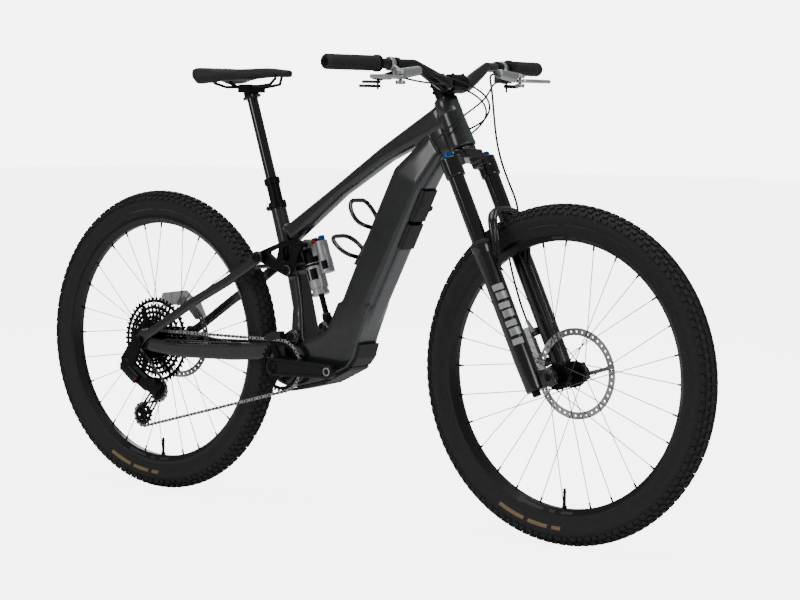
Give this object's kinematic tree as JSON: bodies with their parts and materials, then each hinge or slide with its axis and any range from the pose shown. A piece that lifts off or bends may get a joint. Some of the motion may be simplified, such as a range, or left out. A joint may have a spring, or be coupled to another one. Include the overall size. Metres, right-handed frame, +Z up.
{
  "type": "mountain bike",
  "caption": "Full-suspension electric mountain bike with turning fork, working rear linkage, brakes, shifting, dropper post and drivetrain.",
  "frame": {"origin": "on the ground, midway between the wheel axles, in the bike's mid-plane", "axes": "+X towards the front wheel, +Y to the rider's left, +Z up"},
  "size_m": [1.9526, 0.7856, 1.0594],
  "materials": {
    "carbon": "satin smoke clear coat over carbon",
    "black_alloy": "black anodised aluminium",
    "gloss_black": "gloss black",
    "black_plastic": "moulded black nylon",
    "drive_housing": "cast housing",
    "steel": "steel",
    "chain_steel": "plated steel",
    "silver": "polished alloy",
    "rubber": "moulded rubber",
    "tyre_rubber": "tyre rubber",
    "rim_black": "black rim",
    "saddle_cover": "matte synthetic cover",
    "red_anodised": "red anodised",
    "blue_anodised": "blue anodised",
    "hose": "hose jacket",
    "battery_case": "battery case"
  },
  "bodies": {
    "frame": {"main_frame": "carbon", "battery_cover": "black_plastic", "motor_guard": "black_plastic", "drive_unit": "drive_housing", "battery": "battery_case", "headset_bearings": "steel", "seat_collar": "black_alloy", "dropper_outer": "black_alloy", "bottle_cage": "gloss_black", "chain_guide": "black_plastic", "frame_pivot_pins": "steel", "control_lines": "hose", "chain": "chain_steel"},
    "saddle_post": {"dropper_post": "gloss_black", "saddle_clamp": "black_alloy", "saddle_rails": "black_alloy", "saddle": "saddle_cover"},
    "steering": {"fork_crown": "gloss_black", "fork_stanchions": "gloss_black", "stem": "black_alloy", "handlebar": "gloss_black", "grips": "rubber", "brake_masters": "silver", "control_mounts": "black_plastic", "front_brake_hose": "hose"},
    "right_brake_lever": {"brake_lever_right": "silver"},
    "left_brake_lever": {"brake_lever_left": "silver"},
    "upshift": {"upshift_paddle": "black_plastic"},
    "downshift": {"downshift_paddle": "black_plastic"},
    "dropper_remote": {"remote_paddle": "black_alloy"},
    "fork_compression": {"compression_dial": "blue_anodised"},
    "fork_legs": {"fork_lowers": "gloss_black", "front_caliper": "silver"},
    "fork_rebound": {"rebound_knob": "red_anodised"},
    "front_wheel": {"front_tyre": "tyre_rubber", "front_rim": "rim_black", "front_spokes": "steel", "front_hub": "black_alloy", "front_rotor": "steel"},
    "chainstays": {"chainstay": "carbon", "rear_axle": "black_alloy", "derailleur_body": "black_alloy"},
    "derailleur_arm": {"derailleur_cage": "black_alloy"},
    "top_pulley": {"upper_pulley": "black_plastic"},
    "bottom_pulley": {"lower_pulley": "black_plastic"},
    "seatstays": {"seatstay": "carbon", "rear_caliper": "silver"},
    "rocker": {"rocker_link": "black_alloy"},
    "shock_rod": {"shock_shaft": "black_alloy"},
    "shock_body": {"shock_can": "silver"},
    "shock_rebound": {"shock_rebound_knob": "red_anodised"},
    "shock_compression": {"shock_compression_knob": "blue_anodised"},
    "rear_wheel": {"rear_tyre": "tyre_rubber", "rear_rim": "rim_black", "rear_spokes": "steel", "rear_hub": "black_alloy", "rear_rotor": "steel"},
    "freewheel": {"cassette": "steel"},
    "crank": {"crank_arms": "black_alloy", "chainring": "black_alloy"}
  },
  "joints": [
    {"name": "steering_turn", "type": "hinge", "parent": "frame", "child": "steering", "pos_m": [0.29777, 0, 0.91266], "axis": [-0.4305, 0, 0.9026], "range_deg": [-52, 52], "deforming": ["control_lines"]},
    {"name": "fork_travel", "type": "slide", "parent": "steering", "child": "fork_legs", "axis": [-0.4305, 0, 0.9026], "range_m": [0, 0.15], "stiffness_N_per_m": 5200, "springref_m": -0.012, "deforming": ["front_brake_hose"]},
    {"name": "front_wheel_spin", "type": "hinge", "parent": "fork_legs", "child": "front_wheel", "pos_m": [0.6044, 0, 0.372], "axis": [0, 1, 0], "continuous": true},
    {"name": "chainstay_swing", "type": "hinge", "parent": "frame", "child": "chainstays", "pos_m": [-0.136, 0, 0.412], "axis": [0, 1, 0], "range_deg": [0, 15.9], "stiffness_Nm_per_rad": 1500, "springref_deg": -1.15, "deforming": ["chain"]},
    {"name": "seatstay_swing", "type": "hinge", "parent": "chainstays", "child": "seatstays", "pos_m": [-0.6044, 0, 0.372], "axis": [0, 1, 0], "range_deg": [-4.59, 0.02]},
    {"name": "rocker_swing", "type": "hinge", "parent": "frame", "child": "rocker", "pos_m": [-0.156, 0, 0.567], "axis": [0, 1, 0], "range_deg": [-0.02, 44.99]},
    {"name": "shock_swing", "type": "hinge", "parent": "frame", "child": "shock_rod", "pos_m": [-0.064, 0, 0.44], "axis": [0, 1, 0], "range_deg": [-0.02, 8.09]},
    {"name": "shock_stroke", "type": "slide", "parent": "shock_rod", "child": "shock_body", "axis": [0.3208, 0, -0.9471], "range_m": [-0.0001, 0.04393]},
    {"name": "rear_wheel_spin", "type": "hinge", "parent": "chainstays", "child": "rear_wheel", "pos_m": [-0.6044, 0, 0.372], "axis": [0, 1, 0], "continuous": true, "deforming": ["chain"]},
    {"name": "crank_turn", "type": "hinge", "parent": "frame", "child": "crank", "pos_m": [-0.164, 0, 0.342], "axis": [0, 1, 0], "continuous": true, "deforming": ["chain"]},
    {"name": "cassette_turn", "type": "hinge", "parent": "chainstays", "child": "freewheel", "pos_m": [-0.6044, 0, 0.372], "axis": [0, 1, 0], "continuous": true, "deforming": ["chain"]},
    {"name": "top_pulley_turn", "type": "hinge", "parent": "derailleur_arm", "child": "top_pulley", "pos_m": [-0.566, -0.057, 0.254], "axis": [0, 1, 0], "continuous": true, "deforming": ["chain"]},
    {"name": "bottom_pulley_turn", "type": "hinge", "parent": "derailleur_arm", "child": "bottom_pulley", "pos_m": [-0.617, -0.057, 0.188], "axis": [0, 1, 0], "continuous": true, "deforming": ["chain"]},
    {"name": "derailleur_cage_swing", "type": "hinge", "parent": "chainstays", "child": "derailleur_arm", "pos_m": [-0.56, -0.064, 0.268], "axis": [0, 1, 0], "range_deg": [-6, 24], "stiffness_Nm_per_rad": 0.6, "deforming": ["chain"]},
    {"name": "dropper_travel", "type": "slide", "parent": "frame", "child": "saddle_post", "axis": [-0.3057, 0, 0.9521], "range_m": [-0.15, 0], "stiffness_N_per_m": 120, "springref_m": 0.35},
    {"name": "right_brake_pull", "type": "hinge", "parent": "steering", "child": "right_brake_lever", "pos_m": [0.31899, -0.222, 1.01135], "axis": [0, 0, 1], "range_deg": [0, 14], "stiffness_Nm_per_rad": 1.2},
    {"name": "left_brake_pull", "type": "hinge", "parent": "steering", "child": "left_brake_lever", "pos_m": [0.31899, 0.222, 1.01135], "axis": [0, 0, -1], "range_deg": [0, 14], "stiffness_Nm_per_rad": 1.2},
    {"name": "upshift_push", "type": "hinge", "parent": "steering", "child": "upshift", "pos_m": [0.26968, -0.238, 1.00141], "axis": [0, 0, -1], "range_deg": [0, 12], "stiffness_Nm_per_rad": 0.3},
    {"name": "downshift_push", "type": "hinge", "parent": "steering", "child": "downshift", "pos_m": [0.26968, -0.238, 1.00141], "axis": [0, 0, -1], "range_deg": [0, 14], "stiffness_Nm_per_rad": 0.3},
    {"name": "remote_push", "type": "hinge", "parent": "steering", "child": "dropper_remote", "pos_m": [0.26968, 0.238, 1.00141], "axis": [0, 0, 1], "range_deg": [0, 18], "stiffness_Nm_per_rad": 0.3},
    {"name": "compression_turn", "type": "hinge", "parent": "steering", "child": "fork_compression", "pos_m": [0.3236, -0.066, 0.8585], "axis": [-0.4305, 0, 0.9026], "range_deg": [0, 270]},
    {"name": "rebound_turn", "type": "hinge", "parent": "fork_legs", "child": "fork_rebound", "pos_m": [0.5733, -0.066, 0.33501], "axis": [-0.4305, 0, 0.9026], "range_deg": [0, 270]},
    {"name": "shock_rebound_turn", "type": "hinge", "parent": "shock_body", "child": "shock_rebound", "pos_m": [-0.10711, 0, 0.63274], "axis": [0.3208, 0, -0.9471], "range_deg": [0, 270]},
    {"name": "shock_compression_turn", "type": "hinge", "parent": "shock_body", "child": "shock_compression", "pos_m": [-0.08722, 0, 0.63947], "axis": [0.3208, 0, -0.9471], "range_deg": [0, 270]}
  ],
  "couplings": [
    {"joint": "seatstay_swing", "follows": "chainstay_swing", "ratio": -0.2875},
    {"joint": "rocker_swing", "follows": "chainstay_swing", "ratio": 2.8284},
    {"joint": "shock_swing", "follows": "chainstay_swing", "ratio": 0.5078},
    {"joint": "shock_stroke", "follows": "chainstay_swing", "m_per_rad": 0.15796},
    {"joint": "cassette_turn", "follows": "crank_turn", "ratio": 2.1429},
    {"joint": "top_pulley_turn", "follows": "crank_turn", "ratio": -2.1429},
    {"joint": "bottom_pulley_turn", "follows": "crank_turn", "ratio": 2.1429}
  ]
}
